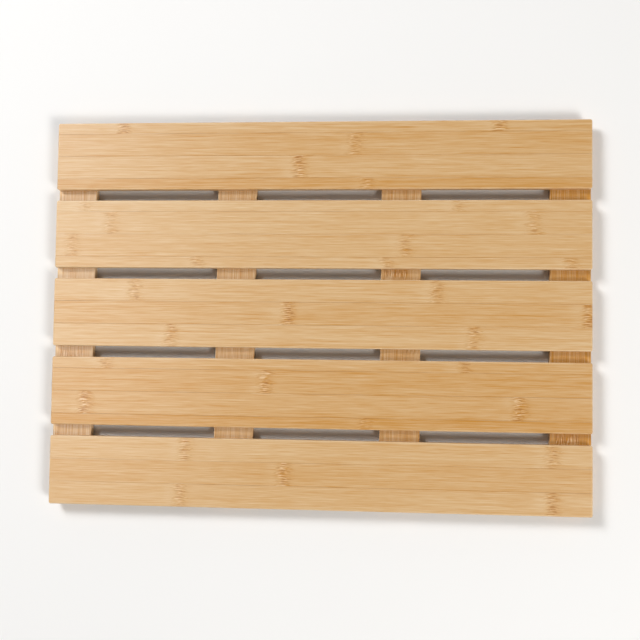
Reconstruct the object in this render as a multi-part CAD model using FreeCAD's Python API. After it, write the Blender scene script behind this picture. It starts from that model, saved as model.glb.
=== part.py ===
import FreeCAD, Part
import os

from FreeCAD import Vector

# Slatted bamboo bath mat: wide slats lie across four battens, screwed from below,
# and the battens stand on small rubber pads.  Millimetres.
# Origin: on the floor, under the middle of the mat.
# +X along the slats, +Y from the front edge to the back edge, +Z up.

# ---- overall layout -------------------------------------------------------------
mat_length = 540.0          # along the slats; the end battens are flush with it
slat_count = 5
slat_gap = 11.0             # drain gap between neighbouring slats
batten_count = 4
batten_inset = 4.0          # batten end, back from the outer slat's long edge

# ---- bamboo strips glued edge to edge -------------------------------------------
strip_width = 23.0          # one full strip
strips_across = 3           # strips' worth of width in a slat
slat_thickness = 8.0
batten_thickness = 8.0
batten_width = 40.0

# Distance from a slat's back edge to its first glue line, in strips.  A slat that
# starts with half a strip ends with half a strip.
slat_first_strip = (0.5, 0.5, 1.0, 0.5, 1.0)
# Width of the narrow strip along each batten's left edge; a full strip follows.
batten_first_strip = (5.6, 3.4, 3.4, 5.6)

# ---- softened edges --------------------------------------------------------------
corner_radius = 2.0         # upright corners of slats and battens
top_arris = 1.2             # rounding along a slat's upper edges
under_arris = 0.6           # rounding along its lower edges
batten_arris = 0.8          # rounding along all of a batten's long and end edges

# ---- screws, driven up through the battens ----------------------------------------
screw_core_radius = 1.6     # shank as it sits in the slat
screw_hole_clearance = 0.2  # around the shank, through the batten
screw_head_radius = 3.2
screw_head_cone = 1.9       # height of the countersunk cone
screw_head_rim = 0.4        # straight rim below the cone
screw_head_sink = 0.3       # head face, up from the batten's underside
screw_seat_clearance = 0.1  # around the head's rim
screw_tip_cover = 2.7       # wood left between the tip and the standing surface
screw_tip_length = 2.4
screw_point_radius = 0.3    # the point is blunt
screw_edge_in_batten = 7.2  # shank centre to the batten's long edge
screw_edge_in_slat = 16.5   # shank centre to the slat's long edge
recess_width = 0.9          # one bar of the cross recess
recess_span = 3.6
recess_depth = 1.3

# ---- rubber pads ------------------------------------------------------------------
pad_radius = 6.0
pad_stand = 1.8             # pad below the batten's underside
pad_seat_depth = 1.2        # counterbore that holds the pad
pad_seat_clearance = 0.15   # around the pad in its counterbore
pad_rim_radius = 0.7        # rounding of the pad's lower rim
pad_groove_radius = 3.4     # middle of the ring groove in its underside
pad_groove_width = 1.0
pad_groove_depth = 0.6

# ---- worked out -------------------------------------------------------------------
slat_width = strips_across * strip_width
slat_pitch = slat_width + slat_gap
mat_depth = slat_count * slat_width + (slat_count - 1) * slat_gap
batten_length = mat_depth - 2 * batten_inset
batten_pitch = (mat_length - batten_width) / (batten_count - 1)
batten_base = pad_stand
slat_base = batten_base + batten_thickness
slat_top = slat_base + slat_thickness
margin = 1.0                # how far a cutting block runs past what it cuts
tiny = 1e-4                 # slack when two positions are compared

slat_y = [mat_depth / 2 - slat_width / 2 - i * slat_pitch for i in range(slat_count)]
batten_x = [(i - (batten_count - 1) / 2) * batten_pitch for i in range(batten_count)]


def block(x0, x1, y0, y1, z0, z1):
    """A box between two opposite corners."""
    return Part.makeBox(x1 - x0, y1 - y0, z1 - z0, Vector(x0, y0, z0))


def turned(profile, x, y):
    """A solid turned about a vertical axis at (x, y) from (radius, height) points."""
    points = [Vector(r, 0, z) for r, z in profile]
    face = Part.Face(Part.makePolygon(points + points[:1]))
    solid = face.revolve(Vector(0, 0, 0), Vector(0, 0, 1), 360)
    solid.translate(Vector(x, y, 0))
    return solid


def edges_where(shape, wanted):
    """The edges whose both ends pass a test on their points."""
    return [e for e in shape.Edges if all(wanted(v.Point) for v in e.Vertexes)]


def softened_board(x0, x1, y0, y1, z0, z1, top, bottom):
    """A board with rounded upright corners and rounded upper and lower edges."""
    board = block(x0, x1, y0, y1, z0, z1)
    upright = [e for e in board.Edges if abs(e.Vertexes[0].Z - e.Vertexes[1].Z) > tiny]
    board = board.makeFillet(corner_radius, upright)
    board = board.makeFillet(top, edges_where(board, lambda p: abs(p.z - z1) < tiny))
    return board.makeFillet(bottom, edges_where(board, lambda p: abs(p.z - z0) < tiny))


def screw_places(column, row):
    """The two screws of one crossing lie on a diagonal, which leans back and forth."""
    across = batten_width / 2 - screw_edge_in_batten
    along = slat_width / 2 - screw_edge_in_slat
    lean = 1 if (column + row) % 2 == 0 else -1
    x, y = batten_x[column], slat_y[row]
    return [(x - lean * across, y - along), (x + lean * across, y + along)]


def screw(x, y):
    """Countersunk screw, point up, with a cross recess in its face."""
    face = batten_base + screw_head_sink
    shoulder = face + screw_head_rim
    neck = shoulder + screw_head_cone
    tip = slat_top - screw_tip_cover
    solid = turned(
        [
            (0, face),
            (screw_head_radius, face),
            (screw_head_radius, shoulder),
            (screw_core_radius, neck),
            (screw_core_radius, tip - screw_tip_length),
            (screw_point_radius, tip),
            (0, tip),
        ],
        x,
        y,
    )
    half, bar = recess_span / 2, recess_width / 2
    low, high = face - margin, face + recess_depth
    cross = block(x - half, x + half, y - bar, y + bar, low, high).fuse(
        block(x - bar, x + bar, y - half, y + half, low, high)
    )
    return solid.cut(cross)


def batten_hole(x, y):
    """Clearance hole with a countersink that the screw head seats in."""
    seat = batten_base + screw_head_sink + screw_head_rim
    mouth = screw_head_radius + screw_seat_clearance
    bore = screw_core_radius + screw_hole_clearance
    # The countersink's cone is the head's own cone, so that the two meet all round.
    slope = screw_head_cone / (screw_head_radius - screw_core_radius)
    return turned(
        [
            (0, batten_base - margin),
            (mouth, batten_base - margin),
            (mouth, seat),
            (screw_head_radius, seat),
            (bore, seat + (screw_head_radius - bore) * slope),
            (bore, slat_base + margin),
            (0, slat_base + margin),
        ],
        x,
        y,
    )


def pilot_hole(x, y):
    """The room that a screw's shank and point take up in a slat."""
    tip = slat_top - screw_tip_cover
    return turned(
        [
            (0, slat_base - margin),
            (screw_core_radius, slat_base - margin),
            (screw_core_radius, tip - screw_tip_length),
            (screw_point_radius, tip),
            (0, tip),
        ],
        x,
        y,
    )


def pad_places(column):
    """One pad under each end of a batten, centred on the outer slats."""
    return [(batten_x[column], slat_y[0]), (batten_x[column], slat_y[-1])]


def pad(x, y):
    """Rubber disc with a rounded rim and a ring groove in its underside."""
    groove_in = pad_groove_radius - pad_groove_width / 2
    groove_out = pad_groove_radius + pad_groove_width / 2
    disc = turned(
        [
            (0, 0),
            (groove_in, 0),
            (groove_in, pad_groove_depth),
            (groove_out, pad_groove_depth),
            (groove_out, 0),
            (pad_radius, 0),
            (pad_radius, batten_base + pad_seat_depth),
            (0, batten_base + pad_seat_depth),
        ],
        x,
        y,
    )
    rim = [
        e
        for e in disc.Edges
        if abs(e.BoundBox.ZMax) < tiny and abs(e.BoundBox.XLength - 2 * pad_radius) < tiny
    ]
    return disc.makeFillet(pad_rim_radius, rim)


def pad_seat(x, y):
    """The counterbore that a pad is glued into."""
    radius = pad_radius + pad_seat_clearance
    low = batten_base - margin
    return Part.makeCylinder(radius, margin + pad_seat_depth, Vector(x, y, low))


def slat_board(row):
    """One whole slat with the pilot holes in its underside."""
    half = slat_width / 2
    board = softened_board(
        -mat_length / 2,
        mat_length / 2,
        slat_y[row] - half,
        slat_y[row] + half,
        slat_base,
        slat_top,
        top_arris,
        under_arris,
    )
    holes = [pilot_hole(*p) for c in range(batten_count) for p in screw_places(c, row)]
    return board.cut(Part.makeCompound(holes))


def batten_board(column):
    """One whole batten with its screw holes and pad seats."""
    half = batten_width / 2
    board = softened_board(
        batten_x[column] - half,
        batten_x[column] + half,
        -batten_length / 2,
        batten_length / 2,
        batten_base,
        slat_base,
        batten_arris,
        batten_arris,
    )
    holes = [batten_hole(*p) for r in range(slat_count) for p in screw_places(column, r)]
    seats = [pad_seat(*p) for p in pad_places(column)]
    return board.cut(Part.makeCompound(holes + seats))


def glue_lines(first, total):
    """Edges of the strips across a board: a first strip, full strips, and what is left."""
    lines = [0.0, first]
    while lines[-1] + strip_width < total - tiny:
        lines.append(lines[-1] + strip_width)
    return lines + [total]


def slat_strips(row):
    """The slat parted at its glue lines, from its back edge to its front edge."""
    board = slat_board(row)
    lines = glue_lines(slat_first_strip[row] * strip_width, slat_width)
    back = slat_y[row] + slat_width / 2
    reach = mat_length / 2 + margin
    low, high = slat_base - margin, slat_top + margin
    return [
        board.common(block(-reach, reach, back - b, back - a, low, high))
        for a, b in zip(lines[:-1], lines[1:])
    ]


def batten_strips(column):
    """The batten parted at its glue lines, from its left edge to its right edge."""
    board = batten_board(column)
    lines = glue_lines(batten_first_strip[column], batten_width)
    left = batten_x[column] - batten_width / 2
    reach = mat_depth / 2
    low, high = batten_base - margin, slat_base + margin
    return [
        board.common(block(left + a, left + b, -reach, reach, low, high))
        for a, b in zip(lines[:-1], lines[1:])
    ]


def save(name, shape):
    """Write one sub-part."""
    shape.exportStep("parts/" + name + ".step")
    print(name, round(shape.Volume, 1), len(shape.Solids), shape.isValid())


os.makedirs("parts", exist_ok=True)

for row in range(slat_count):
    for number, strip in enumerate(slat_strips(row), 1):
        save(f"slat_{row + 1}_strip_{number}", strip)

for column in range(batten_count):
    for number, strip in enumerate(batten_strips(column), 1):
        save(f"batten_{column + 1}_strip_{number}", strip)
    screws = [screw(*p) for r in range(slat_count) for p in screw_places(column, r)]
    save(f"batten_{column + 1}_screws", Part.makeCompound(screws))
    for end, place in zip(("back", "front"), pad_places(column)):
        save(f"rubber_pad_{column + 1}_{end}", pad(*place))
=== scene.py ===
"""Slatted bamboo bath mat: bamboo strips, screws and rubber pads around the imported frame."""

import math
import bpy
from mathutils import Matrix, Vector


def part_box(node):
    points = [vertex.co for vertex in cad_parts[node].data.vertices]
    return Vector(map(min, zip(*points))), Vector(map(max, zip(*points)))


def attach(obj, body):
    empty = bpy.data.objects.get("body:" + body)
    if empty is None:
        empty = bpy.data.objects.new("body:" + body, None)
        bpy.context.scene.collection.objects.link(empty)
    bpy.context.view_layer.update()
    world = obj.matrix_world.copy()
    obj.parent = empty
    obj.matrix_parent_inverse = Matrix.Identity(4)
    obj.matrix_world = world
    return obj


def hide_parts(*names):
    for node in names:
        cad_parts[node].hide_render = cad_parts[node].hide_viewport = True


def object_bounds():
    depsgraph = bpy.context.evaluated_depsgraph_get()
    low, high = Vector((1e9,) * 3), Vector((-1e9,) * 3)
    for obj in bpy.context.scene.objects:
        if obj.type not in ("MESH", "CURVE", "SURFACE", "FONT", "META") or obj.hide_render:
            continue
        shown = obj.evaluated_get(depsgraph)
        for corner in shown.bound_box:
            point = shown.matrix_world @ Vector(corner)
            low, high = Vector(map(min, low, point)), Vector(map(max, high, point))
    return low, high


bl_info = {
    "name": "Slatted Bamboo Bath Mat",
    "version": (1, 0, 0),
    "blender": (4, 5, 0),
    "location": "View3D > Sidebar > Bath Mat",
    "description": "Builds the mat's bamboo strips and finishes, and the studio stage it stands on",
    "category": "Object",
}

import bpy
from bpy.props import FloatProperty, FloatVectorProperty, PointerProperty
from mathutils import Matrix, Vector, noise

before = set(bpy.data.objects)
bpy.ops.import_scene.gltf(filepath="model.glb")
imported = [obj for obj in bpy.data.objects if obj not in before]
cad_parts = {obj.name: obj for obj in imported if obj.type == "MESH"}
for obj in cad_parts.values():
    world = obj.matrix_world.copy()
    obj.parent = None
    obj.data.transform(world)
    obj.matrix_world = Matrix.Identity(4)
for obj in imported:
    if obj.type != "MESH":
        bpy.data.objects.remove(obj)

CAD_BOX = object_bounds()
MM = 0.001
NOWHERE = -9999.0  # a place far off the strip, for a strip with fewer knuckles or glue edges

# Points of a strip's mesh.
END_STEPS = 8  # cross-sections round each end
UPPER_ARC_STEPS = 6
UNDER_ARC_STEPS = 4
UPPER_FLAT_STEPS = 10
UNDER_FLAT_STEPS = 4
EASE = 0.35 * MM  # from a rounding to the first row of points on the flat beside it
TINY = 1e-7
SHARP_EDGE = math.radians(35)

# The slats' strips, from the back strip to the front one.  For each: its tone, how strongly
# its knuckles are marked, and where they are in millimetres from the slat's left end.  A
# tone of 0 is the mat's middle colour, below it the bamboo is deeper, above it paler.
SLAT_STRIPS = {
    1: [
        (0.2, 1.1, (69, 451)), (-0.12, 0.7, (307,)), (0.12, 1.1, (251,)),
        (-0.7, 0.7, (319,)),
    ],
    2: [
        (0.56, 0.5, (30, 410)), (0.36, 0.6, (58, 484)), (0.21, 0.6, (18, 358)),
        (0.32, 0.7, (148, 340, 520)),
    ],
    3: [(0.28, 0.7, (84, 390)), (-0.16, 1.1, (242, 537)), (0.27, 0.8, (123, 426))],
    4: [
        (-0.16, 0.7, (57, 416)), (-0.48, 1.1, (220,)), (-0.3, 1.2, (36, 471)),
        (-0.95, 0.6, (319,)),
    ],
    5: [(0.33, 0.8, (140, 502)), (-0.15, 1.1, (239,)), (0.22, 0.8, (135, 502))],
}
# The battens' strips, from the left strip to the right one, knuckles from the front end.
# They are cut nearer the stem's skin, so their fibres stand out more.
BATTEN_CONTRAST = 1.7
# Their tones are partly the bamboo's own and partly painted light: the first three battens' tones are
# raised to make up for the shade they lie in between the slats.
BATTEN_STRIPS = {
    1: [(0.7, 0.8, (60, 330)), (0.45, 0.8, (147,)), (0.6, 0.8, (250,))],
    2: [(0.3, 0.8, (205,)), (0.4, 0.8, (92, 371)), (0.3, 0.8, (18, 300))],
    3: [(0.1, 0.8, (122,)), (-0.05, 1.0, (233,)), (0.2, 0.8, (160,))],
    4: [(-1.3, 0.8, (28, 290)), (-1.1, 1.2, (70, 344)), (-1.4, 0.8, (210,))],
}

# Each strip's pattern starts from its own seed.
SEED_STEP = 0.17
BATTEN_SEED = 10


# ---- settings ---------------------------------------------------------------------


class BathMatBoards(bpy.types.PropertyGroup):
    """Shape of the slats' strips."""

    top_arris: FloatProperty(
        name="Upper arris", description="Rounding of a slat's upper edges",
        default=1.2 * MM, unit="LENGTH",
    )
    under_arris: FloatProperty(
        name="Lower arris", description="Rounding of a slat's lower edges",
        default=0.6 * MM, unit="LENGTH",
    )
    corner: FloatProperty(
        name="Corner radius", description="Upright corners of a slat",
        default=2.0 * MM, unit="LENGTH",
    )
    glue_groove: FloatProperty(
        name="Glue line", description="Eased edge where two strips meet",
        default=0.16 * MM, unit="LENGTH",
    )
    hand: FloatProperty(
        name="Sanding wander", description="How far sanding leaves a face from flat",
        default=0.05 * MM, unit="LENGTH",
    )
    station: FloatProperty(
        name="Station spacing", description="Distance between cross-sections",
        default=6.0 * MM, unit="LENGTH",
    )


class BathMatBamboo(bpy.types.PropertyGroup):
    """Colour and finish of the bamboo."""

    pale: FloatVectorProperty(
        name="Pale bamboo", description="Between the fibres",
        default=(0.705, 0.488, 0.262), subtype="COLOR",
    )
    deep: FloatVectorProperty(
        name="Deep bamboo", description="Along the fibres",
        default=(0.580, 0.297, 0.080), subtype="COLOR",
    )
    knuckle: FloatVectorProperty(
        name="Knuckle", description="Marks across a strip where a leaf joint was",
        default=(0.40, 0.165, 0.032), subtype="COLOR",
    )
    # Also the colour of the painted highlight along the arrises, mixed with their wear.
    fleck_and_arris_highlight: FloatVectorProperty(
        name="Fleck", description="Pale flecks in a knuckle, and worn arrises",
        default=(0.88, 0.70, 0.46), subtype="COLOR",
    )
    glue: FloatVectorProperty(
        name="Glue line", description="Hair of glue between two strips",
        default=(0.36, 0.17, 0.05), subtype="COLOR",
    )
    roughness: FloatProperty(
        name="Lacquer roughness", description="Sheen of the satin lacquer",
        default=0.36, subtype="FACTOR",
    )


class BathMatHardware(bpy.types.PropertyGroup):
    """Colour and finish of the screws and the rubber pads."""

    steel: FloatVectorProperty(
        name="Steel", description="Screws", default=(0.60, 0.59, 0.56), subtype="COLOR"
    )
    rubber: FloatVectorProperty(
        name="Rubber", description="Pads", default=(0.035, 0.034, 0.033), subtype="COLOR"
    )
    dust: FloatVectorProperty(
        name="Dust", description="Settled on the pads", default=(0.12, 0.115, 0.105), subtype="COLOR"
    )


class BathMatStage(bpy.types.PropertyGroup):
    """Floor, lights and camera."""

    floor: FloatVectorProperty(
        name="Floor", description="Plain pale floor", default=(0.90, 0.895, 0.885), subtype="COLOR"
    )
    floor_half: FloatProperty(
        name="Floor reach", description="From the mat's middle to a side of the floor",
        default=1.8, unit="LENGTH",
    )
    window_place: FloatVectorProperty(
        name="Window place", description="Broad light at the back left",
        default=(-1.7, 1.42, 2.2), subtype="TRANSLATION", unit="LENGTH",
    )
    window_power: FloatProperty(
        name="Window light", description="Its power", default=67.0, unit="POWER"
    )
    room_place: FloatVectorProperty(
        name="Room place", description="Broad light at the front right",
        default=(1.6, -1.3, 2.05), subtype="TRANSLATION", unit="LENGTH",
    )
    room_power: FloatProperty(
        name="Room light", description="Its power", default=49.5, unit="POWER"
    )
    broad_size: FloatProperty(
        name="Broad light size", description="Side of the window and room lights",
        default=1.0, unit="LENGTH",
    )
    sheen_place: FloatVectorProperty(
        name="Sheen place", description="Light that glances off the lacquer and lights nothing else",
        default=(-0.8, -0.06, 1.25), subtype="TRANSLATION", unit="LENGTH",
    )
    sheen_power: FloatProperty(
        name="Sheen light", description="Its power", default=5.0, unit="POWER"
    )
    sheen_size: FloatProperty(
        name="Sheen light size", description="Side of the sheen light", default=0.7, unit="LENGTH"
    )
    walls: FloatProperty(
        name="Walls", description="Brightness of the pale room near the floor", default=0.85
    )
    ceiling: FloatProperty(
        name="Ceiling", description="Brightness of the pale room overhead", default=0.1
    )
    lens: FloatProperty(name="Lens", description="Focal length in millimetres", default=53.0)
    height: FloatProperty(
        name="Camera height", description="Above the mat's upper face", default=0.935, unit="LENGTH"
    )
    sideways: FloatProperty(
        name="Camera sideways", description="To the right of the mat's middle",
        default=0.0832, unit="LENGTH",
    )
    forward: FloatProperty(
        name="Camera forward", description="In front of the mat's middle",
        default=0.0530, unit="LENGTH",
    )
    aim_x: FloatProperty(
        name="Aim sideways", description="Point looked at", default=0.0035, unit="LENGTH"
    )
    aim_y: FloatProperty(
        name="Aim forward", description="Point looked at", default=-0.0061, unit="LENGTH"
    )
    roll: FloatProperty(
        name="Camera roll", description="Turn about the line of sight",
        default=math.radians(0.775), unit="ROTATION",
    )


class BathMatSettings(bpy.types.PropertyGroup):
    """All of the mat's settings."""

    boards: PointerProperty(type=BathMatBoards)
    bamboo: PointerProperty(type=BathMatBamboo)
    hardware: PointerProperty(type=BathMatHardware)
    stage: PointerProperty(type=BathMatStage)


# ---- building shader trees --------------------------------------------------------


class Shader:
    """Adds nodes to a tree; anything passed as an input is linked if it is a socket."""

    def __init__(self, tree):
        self.tree = tree

    def node(self, kind, inputs=None, **settings):
        made = self.tree.nodes.new(kind)
        for key, value in settings.items():
            setattr(made, key, value)
        for key, value in (inputs or {}).items():
            self.feed(made.inputs[key], value)
        return made

    def feed(self, socket, value):
        if isinstance(value, bpy.types.NodeSocket):
            self.tree.links.new(value, socket)
        else:
            socket.default_value = value

    def math(self, operation, a, b=0.0, clamp=False):
        made = self.node("ShaderNodeMath", {0: a, 1: b}, operation=operation, use_clamp=clamp)
        return made.outputs[0]

    def add(self, a, b):
        return self.math("ADD", a, b)

    def times(self, a, b):
        return self.math("MULTIPLY", a, b)

    def vector(self, x, y, z):
        return self.node("ShaderNodeCombineXYZ", {0: x, 1: y, 2: z}).outputs[0]

    def noise(self, where, scale=1.0, detail=2.0, rough=0.5):
        inputs = {"Vector": where, "Scale": scale, "Detail": detail, "Roughness": rough}
        return self.node("ShaderNodeTexNoise", inputs).outputs[0]

    def ramp(self, value, low, high, to_low=0.0, to_high=1.0):
        """Smoothly from to_low to to_high as value goes from low to high."""
        inputs = {0: value, 1: low, 2: high, 3: to_low, 4: to_high}
        made = self.node("ShaderNodeMapRange", inputs, interpolation_type="SMOOTHSTEP")
        return made.outputs[0]

    def swing(self, value, reach):
        """A noise value turned into a swing of about plus or minus reach."""
        return self.times(self.math("SUBTRACT", value, 0.5), 2.0 * reach)

    def bell(self, distance, width):
        """1 at no distance, falling smoothly to 0 over a few widths."""
        share = self.math("DIVIDE", distance, width)
        return self.math("EXPONENT", self.times(self.times(share, share), -1.0))

    def mix(self, factor, a, b, blend="MIX"):
        made = self.node("ShaderNodeMix", data_type="RGBA", blend_type=blend)
        self.feed(made.inputs[0], factor)
        self.feed(made.inputs[6], a)
        self.feed(made.inputs[7], b)
        return made.outputs[2]


def rgba(colour):
    return (*colour, 1.0)


def new_material(name):
    material = bpy.data.materials.new(name)
    material.use_nodes = True
    material.node_tree.nodes.clear()
    return material, Shader(material.node_tree)


def finish_material(shader, surface):
    shader.node("ShaderNodeOutputMaterial", {"Surface": surface.outputs[0]})


# ---- bamboo -----------------------------------------------------------------------


BAMBOO_GROUP = "flat_pressed_bamboo"
BAMBOO_INPUTS = (
    "Along", "Across", "Through", "Seed", "Tone", "Contrast", "Marks",
    "Knuckle 1", "Knuckle 2", "Knuckle 3", "Glue edge 1", "Glue edge 2",
)


def nearest(shader, value, places):
    """Signed distance from a value to the nearest of some places."""
    found = shader.math("SUBTRACT", value, places[0])
    for place in places[1:]:
        other = shader.math("SUBTRACT", value, place)
        closer = shader.math(
            "LESS_THAN", shader.math("ABSOLUTE", other), shader.math("ABSOLUTE", found)
        )
        found = shader.add(found, shader.times(closer, shader.math("SUBTRACT", other, found)))
    return found


def bamboo_group(bamboo):
    """Node group: flat-pressed bamboo at a place along, across and through a strip, in mm.

    Noises are called with how fast they change along the strip and across it, per millimetre.
    """
    group = bpy.data.node_groups.new(BAMBOO_GROUP, "ShaderNodeTree")
    for name in BAMBOO_INPUTS:
        group.interface.new_socket(name, in_out="INPUT", socket_type="NodeSocketFloat")
    group.interface.new_socket("Colour", in_out="OUTPUT", socket_type="NodeSocketColor")
    group.interface.new_socket("Roughness", in_out="OUTPUT", socket_type="NodeSocketFloat")
    group.interface.new_socket("Relief", in_out="OUTPUT", socket_type="NodeSocketFloat")

    s = Shader(group)
    given = s.node("NodeGroupInput").outputs
    along, width, through, seed, tone, contrast, strength = (given[i] for i in range(7))
    knuckles, glue_edges = [given[i] for i in range(7, 10)], [given[i] for i in range(10, 12)]

    # Shifted by the seed, so that no two strips share a pattern.
    across = s.add(width, s.times(seed, 37.7))
    side = s.add(through, s.times(seed, 11.3))

    def streaks(lateral, lengthwise, crosswise, detail, rough):
        where = s.vector(
            s.times(along, lengthwise), s.times(lateral, crosswise), s.times(side, crosswise)
        )
        return s.noise(where, detail=detail, rough=rough)

    def blotches(lengthwise, crosswise, detail=2.0, rough=0.5):
        return streaks(across, lengthwise, crosswise, detail, rough)

    # Distance to the knuckle: its line wanders, and each of its marks starts where it likes.
    reach = s.add(nearest(s, along, knuckles), s.swing(blotches(0.0, 0.2, 1.0), 4.0))
    ragged = s.add(reach, s.swing(blotches(0.02, 0.55, 2.0), 6.0))
    near = s.bell(reach, 10.0)

    # The grain wanders slowly along the strip and bends round a knuckle.
    bend = s.swing(blotches(0.005, 0.07, 1.0), 1.6)
    bend = s.add(bend, s.times(near, s.swing(blotches(0.12, 0.22), 2.6)))
    grain = s.add(across, bend)

    def fibres(lengthwise, crosswise, rough=0.5):
        return streaks(grain, lengthwise, crosswise, 2.0, rough)

    bands = fibres(0.0035, 0.17)
    lines = fibres(0.0025, 0.5, 0.6)
    fine_line = s.bell(s.math("SUBTRACT", lines, 0.5), 0.035)
    veins = s.times(fine_line, s.ramp(bands, 0.35, 0.65, 1.0, 0.3))
    threads = fibres(0.008, 1.7, 0.65)
    hairs = fibres(0.04, 2.6, 0.6)
    bundles = s.ramp(fibres(0.016, 1.1, 0.7), 0.57, 0.68)
    clouds = blotches(0.012, 0.06)

    # A knuckle is a ladder of short curved marks with pale flecks between them.
    bow = s.times(s.times(reach, reach), 0.008)
    count = s.add(s.times(across, 0.46), s.add(s.swing(blotches(0.05, 0.4), 1.5), bow))
    rung = s.math("SINE", s.times(count, math.tau))
    broken = s.ramp(blotches(0.2, 0.5, 2.0, 0.6), 0.32, 0.54)
    marks = s.times(s.bell(ragged, 5.8), s.times(s.ramp(rung, 0.1, 0.9), broken))
    between = s.ramp(s.add(rung, s.times(broken, 0.3)), 0.0, -0.9)
    flecks = s.times(s.bell(s.add(ragged, 1.6), 5.0), between)
    column = s.bell(ragged, 6.2)
    halo = s.bell(s.add(reach, 11.0), 7.0)

    # Next to a glue line the strip's edge is deeper, and the line itself is a dark hair.
    edge = s.math("ABSOLUTE", nearest(s, width, glue_edges))
    rim = s.times(s.bell(edge, 1.6), s.ramp(blotches(0.006, 0.03, 1.0), 0.42, 0.6))
    shows = s.ramp(blotches(0.012, 0.03, 1.0), 0.38, 0.65, 0.04, 0.45)
    hairline = s.times(s.bell(edge, 0.3), shows)

    # Paleness: the strip's own tone, then bands, lines, threads and hairs of fibre.
    fibre = s.add(s.swing(bands, 0.08), s.times(veins, -0.19))
    fibre = s.add(fibre, s.add(s.swing(threads, 0.66), s.swing(hairs, 0.95)))
    fibre = s.add(fibre, s.times(bundles, -0.26))
    pale = s.add(s.add(0.54, s.times(tone, 0.33)), s.times(fibre, contrast))
    pale = s.add(pale, s.swing(clouds, 0.13))
    pale = s.add(pale, s.times(rim, -0.11))
    pale = s.add(pale, s.times(halo, 0.12))
    pale = s.add(pale, s.times(s.times(column, strength), -0.42))

    # The mix runs a little past both colours, so that no tone is cut off flat.
    wood = s.node("ShaderNodeMix", data_type="RGBA", clamp_factor=False)
    s.feed(wood.inputs[0], s.ramp(pale, -0.7, 1.7, -0.5, 1.5))
    s.feed(wood.inputs[6], rgba(bamboo.deep))
    s.feed(wood.inputs[7], rgba(bamboo.pale))
    dark = s.math("MULTIPLY", marks, s.times(strength, 0.9), clamp=True)
    colour = s.mix(dark, wood.outputs[2], rgba(bamboo.knuckle))
    colour = s.mix(s.times(flecks, s.times(strength, 0.6)), colour, rgba(bamboo.fleck_and_arris_highlight))
    colour = s.mix(hairline, colour, rgba(bamboo.glue))

    rough = s.add(s.swing(clouds, 0.05), s.add(bamboo.roughness, s.times(hairs, 0.08)))
    rough = s.add(rough, s.times(dark, 0.12))
    relief = s.add(s.times(hairs, 0.3), s.add(s.times(threads, 0.4), s.times(veins, -0.15)))
    relief = s.add(relief, s.add(s.times(bundles, -0.2), s.times(dark, -0.25)))
    made = s.node("NodeGroupOutput")
    for socket, value in zip(made.inputs, (colour, rough, relief)):
        s.feed(socket, value)
    return group


def bamboo_material(node, group, lengthwise, seed, contrast, strip, glued):
    """One strip's own material.

    The grain runs along axis 0 or 1, strip is its row in the tables above, and glued says
    whether its low and high edges meet another strip.
    """
    bamboo = bpy.context.scene.bath_mat.bamboo
    tone, strength, knuckles = strip
    low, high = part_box(node)
    crosswise = 1 - lengthwise
    material, s = new_material(f"bamboo_{node}")
    place = s.node("ShaderNodeTexCoord").outputs["Object"]
    axes = s.node("ShaderNodeSeparateXYZ", {0: place}).outputs
    edges = [
        side[crosswise] / MM if joined else NOWHERE
        for side, joined in zip((low, high), glued)
    ]
    places = [float(knuckle) for knuckle in (*knuckles, NOWHERE, NOWHERE)[:3]]
    values = (
        s.times(s.math("SUBTRACT", axes[lengthwise], low[lengthwise]), 1 / MM),
        s.times(axes[crosswise], 1 / MM), s.times(axes[2], 1 / MM),
        seed, tone, contrast, strength, *places, *edges,
    )
    wood = s.node("ShaderNodeGroup", dict(zip(BAMBOO_INPUTS, values)), node_tree=group)

    # Handling pales and dulls the lacquer along the arrises, in uneven patches; the paling is also a
    # painted highlight for the light the rounded arrises catch.
    worn_and_highlit = s.node("ShaderNodeAttribute", attribute_name="arris").outputs["Fac"]
    patches = s.noise(place, scale=1 / (14 * MM), detail=2.0)
    wear_and_highlight = s.times(worn_and_highlit, s.ramp(patches, 0.3, 0.7, 0.35, 1.0))
    colour = s.mix(s.times(wear_and_highlight, 0.3), wood.outputs["Colour"], rgba(bamboo.fleck_and_arris_highlight))
    roughness = s.add(wood.outputs["Roughness"], s.times(wear_and_highlight, 0.1))
    bump = s.node(
        "ShaderNodeBump",
        {"Height": wood.outputs["Relief"], "Strength": 0.55, "Distance": 0.06 * MM},
    )
    surface = s.node(
        "ShaderNodeBsdfPrincipled",
        {
            "Base Color": colour,
            "Roughness": roughness,
            "Normal": bump.outputs[0],
            "Specular IOR Level": 0.4,
            "Coat Weight": 0.7,
            "Coat Roughness": 0.3,
        },
    )
    finish_material(s, surface)
    return material


# ---- strips -----------------------------------------------------------------------


def quarter_drop(distance, radius):
    """How far a rounded edge of this radius lies below its corner, at a distance from the edge."""
    inside = radius - min(distance, radius)
    return radius - math.sqrt(max(radius * radius - inside * inside, 0.0))


def stations(length, corner, spacing):
    """Distances from the left end: close together on the rounded ends, even between them."""
    turn = math.pi / 2 / END_STEPS
    end = [corner * (1 - math.cos(turn * i)) for i in range(END_STEPS + 1)]
    end.append(corner + EASE)
    count = max(2, round((length - 2 * end[-1]) / spacing))
    middle = [end[-1] + (length - 2 * end[-1]) * i / count for i in range(1, count)]
    return end + middle + [length - distance for distance in reversed(end)]


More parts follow.
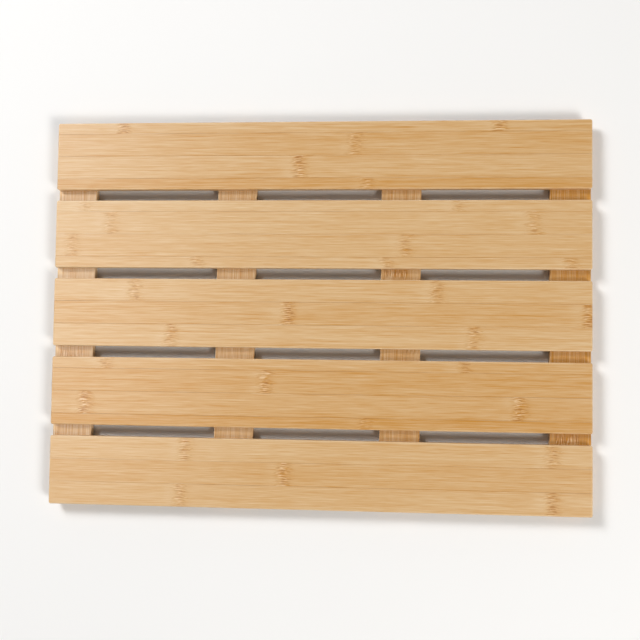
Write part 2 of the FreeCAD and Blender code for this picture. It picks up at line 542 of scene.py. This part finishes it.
def section(y0, y1, z0, z1, round_low, round_high, under):
    """Points round a strip's cross-section, and how far each lies on an upper arris.

    round_low and round_high are an upper edge's radius and its arris weight.
    """
    points, arris = [], []

    def arc(centre_y, centre_z, radius, start, steps, weight):
        for i in range(steps + 1):
            angle = start + math.pi / 2 * i / steps
            y = centre_y + radius * math.cos(angle)
            points.append((y, centre_z + radius * math.sin(angle)))
            arris.append(weight)

    def flat(y_from, y_to, z, steps):
        """Points along a flat face, with one just inside each rounding."""
        ease = math.copysign(EASE, y_to - y_from)
        for i in range(steps + 1):
            points.append((y_from + ease + (y_to - y_from - 2 * ease) * i / steps, z))
            arris.append(0.0)

    upper_low, upper_high = round_low[0], round_high[0]
    under_low, under_high = min(upper_low, under), min(upper_high, under)
    arc(y0 + under_low, z0 + under_low, under_low, math.pi, UNDER_ARC_STEPS, 0.0)
    flat(y0 + under_low, y1 - under_high, z0, UNDER_FLAT_STEPS)
    arc(y1 - under_high, z0 + under_high, under_high, 1.5 * math.pi, UNDER_ARC_STEPS, 0.0)
    arc(y1 - upper_high, z1 - upper_high, upper_high, 0.0, UPPER_ARC_STEPS, round_high[1])
    flat(y1 - upper_high, y0 + upper_low, z1, UPPER_FLAT_STEPS)
    arc(y0 + upper_low, z1 - upper_low, upper_low, math.pi / 2, UPPER_ARC_STEPS, round_low[1])
    return points, arris


def wander(x, y, seed, size):
    """A small smooth offset, from 0 to size, slower along the strip than across it."""
    place = Vector((x * 14.0, y * 40.0, seed * 3.1))
    return size * (0.5 + 0.5 * noise.noise(place))


def strip_mesh(name, node, outer_back, outer_front, boards, seed):
    """Mesh of one slat strip in its frame node's box: rounded ends, arrises and glue edges."""
    low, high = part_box(node)
    vertices, arris, rings = [], [], []
    for distance in stations(high.x - low.x, boards.corner, boards.station):
        x = low.x + distance
        end = min(distance, high.x - low.x - distance)
        # An outer edge goes round the slat's plan corner; a glue edge runs straight out.
        inset = quarter_drop(end, boards.corner)
        y0 = low.y + (inset if outer_front else 0.0)
        y1 = high.y - (inset if outer_back else 0.0)
        z1 = high.z - quarter_drop(end, boards.top_arris)
        z0 = low.z + quarter_drop(end, boards.under_arris)
        soft = boards.top_arris * (0.86 + 0.28 * wander(x, y0, seed, 1.0))
        edge, glue = (soft, 1.0), (boards.glue_groove, 0.0)
        round_low = edge if outer_front else glue
        round_high = edge if outer_back else glue
        points, weights = section(y0, y1, z0, z1, round_low, round_high, boards.under_arris)
        on_end = 1.0 if end < boards.top_arris else 0.0
        ring = []
        for (y, z), weight in zip(points, weights):
            if z > z1 - TINY:
                z -= wander(x, y, seed, boards.hand)
            ring.append(len(vertices))
            vertices.append((x, y, z))
            arris.append(max(weight, on_end if z > (low.z + high.z) / 2 else 0.0))
        rings.append(ring)
    faces = [tuple(rings[0][::-1]), tuple(rings[-1])]
    for ring, after in zip(rings[:-1], rings[1:]):
        for i in range(len(ring)):
            j = (i + 1) % len(ring)
            faces.append((ring[i], ring[j], after[j], after[i]))
    mesh = bpy.data.meshes.new(name)
    mesh.from_pydata(vertices, [], faces)
    attribute = mesh.attributes.new("arris", "FLOAT", "POINT")
    attribute.data.foreach_set("value", arris)
    mesh.validate()
    mesh.shade_smooth()
    mesh.set_sharp_from_angle(angle=SHARP_EDGE)
    return mesh


def show(name, mesh, material):
    """Put a finished mesh in the scene, riding on the mat."""
    piece = bpy.data.objects.new(name, mesh)
    bpy.context.scene.collection.objects.link(piece)
    piece.data.materials.append(material)
    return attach(piece, "root")


class BATHMAT_OT_slats(bpy.types.Operator):
    """Build the slats' strips, each with its own tone and knuckles"""

    bl_idname = "bathmat.slats"
    bl_label = "Build slats"

    def execute(self, context):
        settings = context.scene.bath_mat
        group = bamboo_group(settings.bamboo)
        for slat, strips in SLAT_STRIPS.items():
            for number, strip in enumerate(strips, 1):
                node = f"slat_{slat}_strip_{number}"
                name = f"{node}_board"
                seed = slat + SEED_STEP * number
                back, front = number == 1, number == len(strips)
                glued = (not front, not back)
                mesh = strip_mesh(name, node, back, front, settings.boards, seed)
                material = bamboo_material(node, group, 0, seed, 1.0, strip, glued)
                piece = show(name, mesh, material)
                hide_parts(node)
        return {"FINISHED"}


class BATHMAT_OT_battens(bpy.types.Operator):
    """Finish the battens' strips in bamboo that runs from front to back"""

    bl_idname = "bathmat.battens"
    bl_label = "Finish battens"

    def execute(self, context):
        group = bpy.data.node_groups[BAMBOO_GROUP]
        for batten, strips in BATTEN_STRIPS.items():
            for number, strip in enumerate(strips, 1):
                node = f"batten_{batten}_strip_{number}"
                glued = (number > 1, number < len(strips))
                seed = BATTEN_SEED + batten + SEED_STEP * number
                material = bamboo_material(node, group, 1, seed, BATTEN_CONTRAST, strip, glued)
                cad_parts[node].material_slots[0].material = material
        return {"FINISHED"}


# ---- screws and pads ----------------------------------------------------------------


def steel_material(colour):
    """Stainless steel with faint stains and scuffs."""
    material, s = new_material("screw_steel")
    place = s.node("ShaderNodeTexCoord").outputs["Object"]
    stains = s.noise(place, scale=1 / (3 * MM), detail=3.0)
    scuffs = s.noise(place, scale=1 / (0.35 * MM), detail=3.0, rough=0.7)
    dull = s.mix(s.ramp(stains, 0.35, 0.7), rgba(colour), rgba(Vector(colour) * 0.72))
    bump = s.node("ShaderNodeBump", {"Height": scuffs, "Strength": 0.4, "Distance": 0.03 * MM})
    surface = s.node(
        "ShaderNodeBsdfPrincipled",
        {
            "Base Color": dull,
            "Metallic": 1.0,
            "Roughness": s.ramp(scuffs, 0.3, 0.7, 0.24, 0.46),
            "Normal": bump.outputs[0],
        },
    )
    finish_material(s, surface)
    return material


def rubber_material(colour, dusty):
    """Moulded rubber: matt, finely pitted, dusty in places."""
    material, s = new_material("pad_rubber")
    place = s.node("ShaderNodeTexCoord").outputs["Object"]
    pits = s.noise(place, scale=1 / (0.5 * MM), detail=4.0, rough=0.65)
    dust = s.noise(place, scale=1 / (4 * MM), detail=3.0)
    tinted = s.mix(s.ramp(dust, 0.45, 0.8, 0.0, 0.5), rgba(colour), rgba(dusty))
    bump = s.node("ShaderNodeBump", {"Height": pits, "Strength": 0.5, "Distance": 0.08 * MM})
    surface = s.node(
        "ShaderNodeBsdfPrincipled",
        {
            "Base Color": tinted,
            "Roughness": s.ramp(pits, 0.3, 0.7, 0.62, 0.85),
            "Normal": bump.outputs[0],
            "Specular IOR Level": 0.35,
        },
    )
    finish_material(s, surface)
    return material


def dress(nodes, material):
    """Give the frame's own pieces a finish."""
    for node in nodes:
        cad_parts[node].material_slots[0].material = material


class BATHMAT_OT_screws(bpy.types.Operator):
    """Finish the screws under the battens in turned steel"""

    bl_idname = "bathmat.screws"
    bl_label = "Finish screws"

    def execute(self, context):
        steel = steel_material(context.scene.bath_mat.hardware.steel)
        dress((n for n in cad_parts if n.endswith("_screws")), steel)
        return {"FINISHED"}


class BATHMAT_OT_pads(bpy.types.Operator):
    """Finish the pads under the battens in moulded rubber"""

    bl_idname = "bathmat.pads"
    bl_label = "Finish pads"

    def execute(self, context):
        hardware = context.scene.bath_mat.hardware
        rubber = rubber_material(hardware.rubber, hardware.dust)
        dress((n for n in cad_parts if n.startswith("rubber_pad_")), rubber)
        return {"FINISHED"}


# ---- stage --------------------------------------------------------------------------


def floor_material(colour):
    """A smooth painted floor, very slightly uneven."""
    material, s = new_material("pale_floor")
    place = s.node("ShaderNodeTexCoord").outputs["Object"]
    cloud = s.noise(place, scale=3.0, detail=2.0)
    tint = s.mix(s.ramp(cloud, 0.3, 0.7, 0.0, 0.4), rgba(colour), rgba(Vector(colour) * 0.985))
    surface = s.node("ShaderNodeBsdfPrincipled", {"Base Color": tint, "Roughness": 0.7})
    finish_material(s, surface)
    return material


def area_light(name, place, size, power, colour):
    """A soft square light that faces the middle of the mat."""
    light = bpy.data.lights.new(name, "AREA")
    light.shape = "SQUARE"
    light.size = size
    light.energy = power
    light.color = colour
    lamp = bpy.data.objects.new(name, light)
    lamp.location = place
    lamp.rotation_euler = (-Vector(place)).to_track_quat("-Z", "Y").to_euler()
    bpy.context.scene.collection.objects.link(lamp)
    return lamp


class BATHMAT_OT_stage(bpy.types.Operator):
    """Lay the pale floor, hang the lights and stand the camera above the mat"""

    bl_idname = "bathmat.stage"
    bl_label = "Build stage"

    def execute(self, context):
        scene = context.scene
        self.lay_floor(scene, scene.bath_mat.stage)
        self.hang_lights(scene.bath_mat.stage)
        self.surround(scene, scene.bath_mat.stage)
        self.stand_camera(scene, scene.bath_mat.stage)
        return {"FINISHED"}

    def lay_floor(self, scene, stage):
        half = stage.floor_half
        mesh = bpy.data.meshes.new("floor")
        corners = [(-half, -half, 0), (half, -half, 0), (half, half, 0), (-half, half, 0)]
        mesh.from_pydata(corners, [], [(0, 1, 2, 3)])
        mesh.materials.append(floor_material(stage.floor))
        floor = bpy.data.objects.new("floor", mesh)
        floor.location.z = CAD_BOX[0].z
        scene.collection.objects.link(floor)

    def hang_lights(self, stage):
        cool, warm, white = (0.985, 0.99, 1.0), (1.0, 0.98, 0.95), (1.0, 1.0, 1.0)
        area_light("window", stage.window_place, stage.broad_size, stage.window_power, cool)
        area_light("room", stage.room_place, stage.broad_size, stage.room_power, warm)
        sheen = area_light("sheen", stage.sheen_place, stage.sheen_size, stage.sheen_power, white)
        sheen.visible_diffuse = False

    def surround(self, scene, stage):
        """A pale room: bright at the height of the floor, dim overhead."""
        world = bpy.data.worlds.new("studio")
        world.use_nodes = True
        world.node_tree.nodes.clear()
        s = Shader(world.node_tree)
        facing = s.node("ShaderNodeTexCoord").outputs["Generated"]
        upward = s.node("ShaderNodeSeparateXYZ", {0: facing}).outputs[2]
        bright = s.ramp(s.math("ABSOLUTE", upward), 0.0, 0.6, stage.walls, stage.ceiling)
        colour = rgba((1.0, 0.99, 0.975))
        room = s.node("ShaderNodeBackground", {"Color": colour, "Strength": bright})
        s.node("ShaderNodeOutputWorld", {"Surface": room.outputs[0]})
        scene.world = world

    def stand_camera(self, scene, stage):
        upper_face = CAD_BOX[1].z
        place = Vector((stage.sideways, -stage.forward, upper_face + stage.height))
        aim = Vector((stage.aim_x, stage.aim_y, upper_face))
        back = (place - aim).normalized()
        right = Vector((0.0, 1.0, 0.0)).cross(back).normalized()
        level = Matrix((right, back.cross(right), back)).transposed()
        turn = level @ Matrix.Rotation(stage.roll, 3, "Z")
        data = bpy.data.cameras.new("camera")
        data.lens = stage.lens
        data.sensor_width = 36.0
        data.clip_start = 0.01
        data.clip_end = 50.0
        camera = bpy.data.objects.new("camera", data)
        camera.matrix_world = Matrix.Translation(place) @ turn.to_4x4()
        scene.collection.objects.link(camera)
        scene.camera = camera
        scene.view_settings.view_transform = "Standard"


# ---- add-on -------------------------------------------------------------------------


class BATHMAT_PT_panel(bpy.types.Panel):
    """Lists the steps that build the mat."""

    bl_idname = "BATHMAT_PT_panel"
    bl_label = "Bath Mat"
    bl_space_type = "VIEW_3D"
    bl_region_type = "UI"
    bl_category = "Bath Mat"

    def draw(self, context):
        for operator in OPERATORS:
            self.layout.operator(operator.bl_idname)
        settings = context.scene.bath_mat
        for part in (settings.boards, settings.bamboo, settings.hardware, settings.stage):
            box = self.layout.box()
            for name in part.__annotations__:
                box.prop(part, name)


OPERATORS = (BATHMAT_OT_slats, BATHMAT_OT_battens, BATHMAT_OT_screws, BATHMAT_OT_pads, BATHMAT_OT_stage)
CLASSES = (
    BathMatBoards, BathMatBamboo, BathMatHardware, BathMatStage, BathMatSettings, *OPERATORS,
    BATHMAT_PT_panel,
)


def register():
    for made in CLASSES:
        bpy.utils.register_class(made)
    bpy.types.Scene.bath_mat = PointerProperty(type=BathMatSettings)


def unregister():
    del bpy.types.Scene.bath_mat
    for made in reversed(CLASSES):
        bpy.utils.unregister_class(made)


def main():
    register()
    bpy.ops.bathmat.slats()
    bpy.ops.bathmat.battens()
    bpy.ops.bathmat.screws()
    bpy.ops.bathmat.pads()
    bpy.ops.bathmat.stage()


if __name__ == "__main__":
    main()
